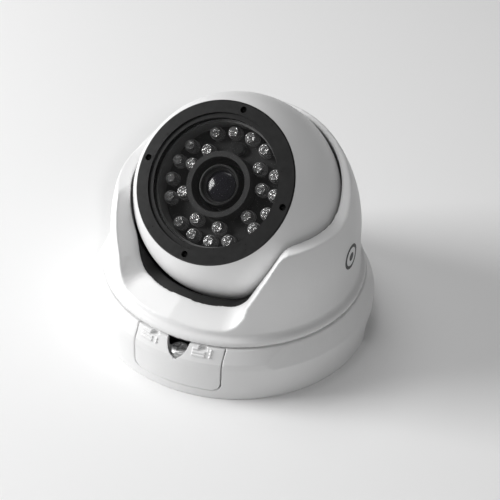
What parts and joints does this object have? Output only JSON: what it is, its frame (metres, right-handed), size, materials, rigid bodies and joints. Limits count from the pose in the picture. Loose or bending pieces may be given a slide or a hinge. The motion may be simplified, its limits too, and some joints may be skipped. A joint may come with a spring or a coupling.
{
  "type": "dome security camera",
  "caption": "Round-based security camera whose white ball, with a lens and ring of infrared lamps behind glass, tilts in a scooped collar that turns on the base.",
  "frame": {"origin": "centre of the mounting face, on the axis of the collar", "axes": "+Z away from the mounting surface along the collar's axis, -Y the way the camera looks, +X to the camera's left"},
  "size_m": [0.11, 0.11, 0.0908],
  "materials": {
    "white_paint": "white semi-gloss powder coat on cast aluminium",
    "bare_aluminium": "bare stamped aluminium",
    "zinc_steel": "zinc-plated steel",
    "black_rubber": "black moulded rubber",
    "foam_rubber": "dark grey dense foam rubber",
    "grey_plastic": "grey moulded plastic",
    "black_plastic": "black moulded plastic",
    "felt": "grey felt",
    "black_bezel": "black satin anodised aluminium",
    "clear_glass": "clear flat glass",
    "black_board": "circuit board with black solder mask",
    "clear_lamp": "clear epoxy lamp with a metal reflector inside",
    "sensor_face": "dark sensor window",
    "green_board": "circuit board with green solder mask",
    "red_glass": "infrared filter glass",
    "brass_post": "brass hexagonal post",
    "lens_glass": "coated lens glass"
  },
  "bodies": {
    "base": {"base_ring": "white_paint", "mounting_plate": "bare_aluminium", "plate_screws": "zinc_steel", "base_gasket": "black_rubber", "cable_grommet": "black_rubber", "slip_ring": "grey_plastic"},
    "latch": {"latch_block": "white_paint", "latch_nut": "zinc_steel"},
    "latch_bolt": {"latch_screw": "zinc_steel", "latch_washer": "zinc_steel"},
    "turntable": {"collar": "white_paint", "snap_ring": "zinc_steel", "cradle": "black_plastic", "cradle_screws": "zinc_steel", "friction_pads": "felt"},
    "swivel": {"rear_gland": "black_rubber"},
    "eyeball": {"front_shell": "white_paint", "rear_shell": "white_paint", "shell_seal": "black_rubber", "shell_screws": "zinc_steel", "bezel": "black_bezel", "bezel_screws": "black_bezel", "window_glass": "clear_glass", "window_seal": "black_rubber", "spacer_ring": "grey_plastic", "lamp_board": "black_board", "lamps_outer": "clear_lamp", "lamps_inner": "clear_lamp", "light_sensor": "sensor_face", "lens_shroud": "foam_rubber", "lamp_board_screws": "zinc_steel", "lens_holder": "black_plastic", "sensor_board": "green_board", "image_sensor": "sensor_face", "ir_filter": "red_glass", "front_posts": "brass_post", "rear_posts": "brass_post", "main_board": "green_board", "board_screws": "zinc_steel", "board_socket": "grey_plastic", "lens_lock_ring": "black_plastic"},
    "lens": {"lens_barrel": "black_plastic", "lens_front_glass": "lens_glass", "lens_rear_glass": "lens_glass"}
  },
  "joints": [
    {"name": "latch_slide", "type": "slide", "parent": "base", "child": "latch", "axis": [0.1219, -0.9925, 0], "range_m": [0, 0.007]},
    {"name": "latch_screw_turn", "type": "hinge", "parent": "latch", "child": "latch_bolt", "pos_m": [0.00614, -0.05002, 0.0165], "axis": [0, 0, 1], "continuous": true},
    {"name": "pan", "type": "hinge", "parent": "base", "child": "turntable", "pos_m": [0, 0, 0.052], "axis": [0, 0, 1], "range_deg": [-178, 178]},
    {"name": "tilt", "type": "hinge", "parent": "turntable", "child": "swivel", "pos_m": [0, 0, 0.052], "axis": [1, 0, 0], "range_deg": [-45, 27]},
    {"name": "roll", "type": "hinge", "parent": "swivel", "child": "eyeball", "pos_m": [0, 0, 0.052], "axis": [0, -0.7133, 0.7009], "range_deg": [-175, 175]},
    {"name": "focus", "type": "hinge", "parent": "eyeball", "child": "lens", "pos_m": [0, 0, 0.052], "axis": [0, -0.7133, 0.7009], "range_deg": [-180, 180]}
  ]
}
